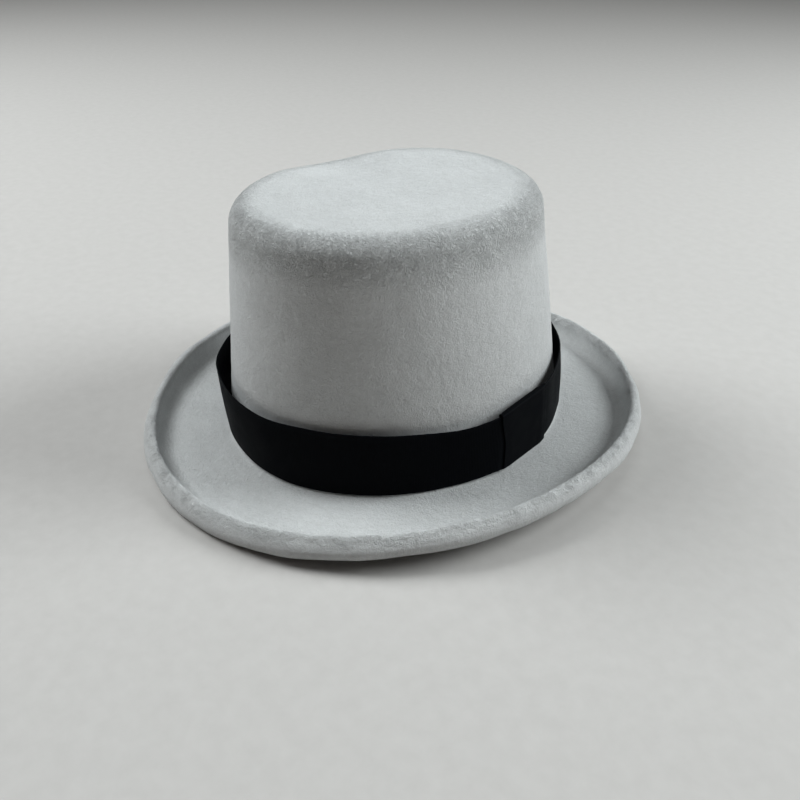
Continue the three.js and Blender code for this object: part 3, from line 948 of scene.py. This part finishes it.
def lining_folds(angle, height):
    """How far the gathered satin stands in from the wall: many narrow folds, deepest near the tip."""
    wander = 0.5 * np.sin(5 * angle + 0.04 * height) + 0.35 * np.sin(11 * angle - 0.02 * height)
    fold = 0.5 + 0.5 * np.cos(LINING_FOLDS * angle + 3 * wander)
    broad = 0.5 + 0.5 * np.cos(19 * angle + 2 * wander + 0.03 * height)
    gathered = smooth(height, 60, LINING_HIGH)
    free = smooth(height, SWEATBAND_HIGH + 1, SWEATBAND_HIGH + 16)
    return free * ((0.35 + 1.1 * gathered) * fold + 1.3 * broad * smooth(height, 130, 90))


def lining_wall():
    angle = (np.arange(1008) * TURN / 1008)[:, None]
    height, depth = (a[None, :] for a in flat_loop(LINING_LOW, LINING_HIGH, LINING, 56))
    radius = lining_radius(height) - LINING + depth - lining_folds(angle, height)
    piece = swept("lining_wall_satin", place(radius, height, angle), closed=True)
    finished(piece, "hat", satin, "lining_wall")
    return piece


def lining_tip():
    """The oval top of the lining, which sags a little and puckers where it is sewn to the wall."""
    rim = float(lining_radius(LINING_HIGH)) - LINING - GAP
    low = LINING_HIGH - LINING
    ends = arc_points((rim - 1.5, LINING_HIGH - LINING / 2), LINING / 2, 90, -90, 6)
    profile = divided(np.concatenate([[(0, LINING_HIGH)], ends, [(0, low)]]), 2.4)

    def sagging(radius, height, angle):
        share = np.clip(radius / rim, 0, 1)
        sag = 3.2 * (1 - share**2) ** 1.5
        pucker = 0.35 * np.sin(LINING_FOLDS * angle) * smooth(share, 0.82, 0.97)
        ripple = 0.3 * np.sin(6 * angle + 8 * share) * share * (1 - share) * 4
        return place(radius, height - sag - pucker - 0.4 + ripple, angle)

    piece = turned("lining_tip_satin", profile, 504, sagging)
    finished(piece, "hat", satin, "lining_tip")
    return piece


felt_body()
hat_band()
band_keeper()
sweatband()
sweatband_stitches()
piping()
seam_tape()
loops = bow()
knot()
size_tab()
lining_wall()
lining_tip()

# ------------------------------------------------ floor, light and camera


def floor():
    """A pale matt floor, fine grained so that it isn't a flat colour."""
    steps, half = 24, 2.5
    line = np.linspace(-half, half, steps)
    grid = np.stack(np.meshgrid(line, line, indexing="ij") + [np.full((steps, steps), -0.0001)], -1)
    piece = new_piece("floor", grid.reshape(-1, 3), grid_faces(steps, steps, False, False))
    material, tree, shader = new_material("pale_floor")
    at = object_place(tree)
    grain = noise_at(tree, at, 120, 4)
    tone = mixed(tree, ranged(tree, grain, 0.3, 0.7), (0.5, 0.485, 0.47, 1), (0.53, 0.515, 0.5, 1))
    tree.links.new(tone, shader.inputs["Base Color"])
    tree.links.new(ranged(tree, grain, 0.3, 0.7, 0.8, 0.9), shader.inputs["Roughness"])
    shader.inputs["Specular IOR Level"].default_value = 0.2
    piece.data.materials.append(material)


def soft_light(name, place_at, aim_at, size, watts, colour):
    light = bpy.data.lights.new(name, "AREA")
    light.shape = "DISK"
    light.size = size
    light.energy = watts
    light.color = colour
    made = bpy.data.objects.new(name, light)
    bpy.context.scene.collection.objects.link(made)
    made.location = place_at
    made.rotation_mode = "QUATERNION"
    made.rotation_quaternion = (aim_at - place_at).to_track_quat("-Z", "Y")


CAMERA_AZIMUTH = math.radians(53.07)
CAMERA_ELEVATION = math.radians(27.72)
CAMERA_ROLL = math.radians(-0.6)
CAMERA_DISTANCE = 0.5299
CAMERA_TARGET = Vector((0, 0, 0.0572))
FOCAL_LENGTH = 40.43
SHIFT = (0.0018, -0.091)

away = Vector((math.sin(CAMERA_AZIMUTH), -math.cos(CAMERA_AZIMUTH), 0))
right = Vector((math.cos(CAMERA_AZIMUTH), math.sin(CAMERA_AZIMUTH), 0))


def camera():
    back = away * math.cos(CAMERA_ELEVATION) + Vector((0, 0, math.sin(CAMERA_ELEVATION)))
    up = back.cross(right)
    tilted_right = right * math.cos(CAMERA_ROLL) - up * math.sin(CAMERA_ROLL)
    tilted_up = up * math.cos(CAMERA_ROLL) + right * math.sin(CAMERA_ROLL)
    data = bpy.data.cameras.new("camera")
    data.sensor_width = 36
    data.lens = FOCAL_LENGTH
    data.shift_x, data.shift_y = SHIFT
    data.clip_start, data.clip_end = 0.01, 30
    made = bpy.data.objects.new("camera", data)
    bpy.context.scene.collection.objects.link(made)
    made.rotation_mode = "QUATERNION"
    made.rotation_quaternion = Matrix((tilted_right, tilted_up, back)).transposed().to_quaternion()
    made.location = CAMERA_TARGET + back * CAMERA_DISTANCE
    bpy.context.scene.camera = made


def lights():
    crown = Vector((0, 0, 0.09))
    up = Vector((0, 0, 1))
    soft_light("top_light", -away * 0.4 + up * 2.0, crown, 1.2, 6, (0.93, 0.99, 1))
    soft_light("right_light", right * 1.6 - away * 0.1 + up * 1.05, crown, 1.1, 36, (0.94, 0.99, 1))
    soft_light("left_light", -right * 1.25 - away * 0.45 + up * 1.4, crown, 1.1, 31, (0.95, 0.99, 1))
    world = bpy.data.worlds.new("studio")
    world.use_nodes = True
    tree = world.node_tree
    direction = node(tree, "ShaderNodeTexCoord").outputs["Generated"]
    split = node(tree, "ShaderNodeSeparateXYZ", {"Vector": direction})
    strength = ranged(tree, split.outputs["Z"], 0.0, 0.3, 0.38, 0.03)
    background = tree.nodes["Background"]
    background.inputs["Color"].default_value = (1, 0.9, 0.83, 1)
    tree.links.new(strength, background.inputs["Strength"])
    bpy.context.scene.world = world
    bpy.context.scene.view_settings.view_transform = "Standard"


floor()
camera()
lights()
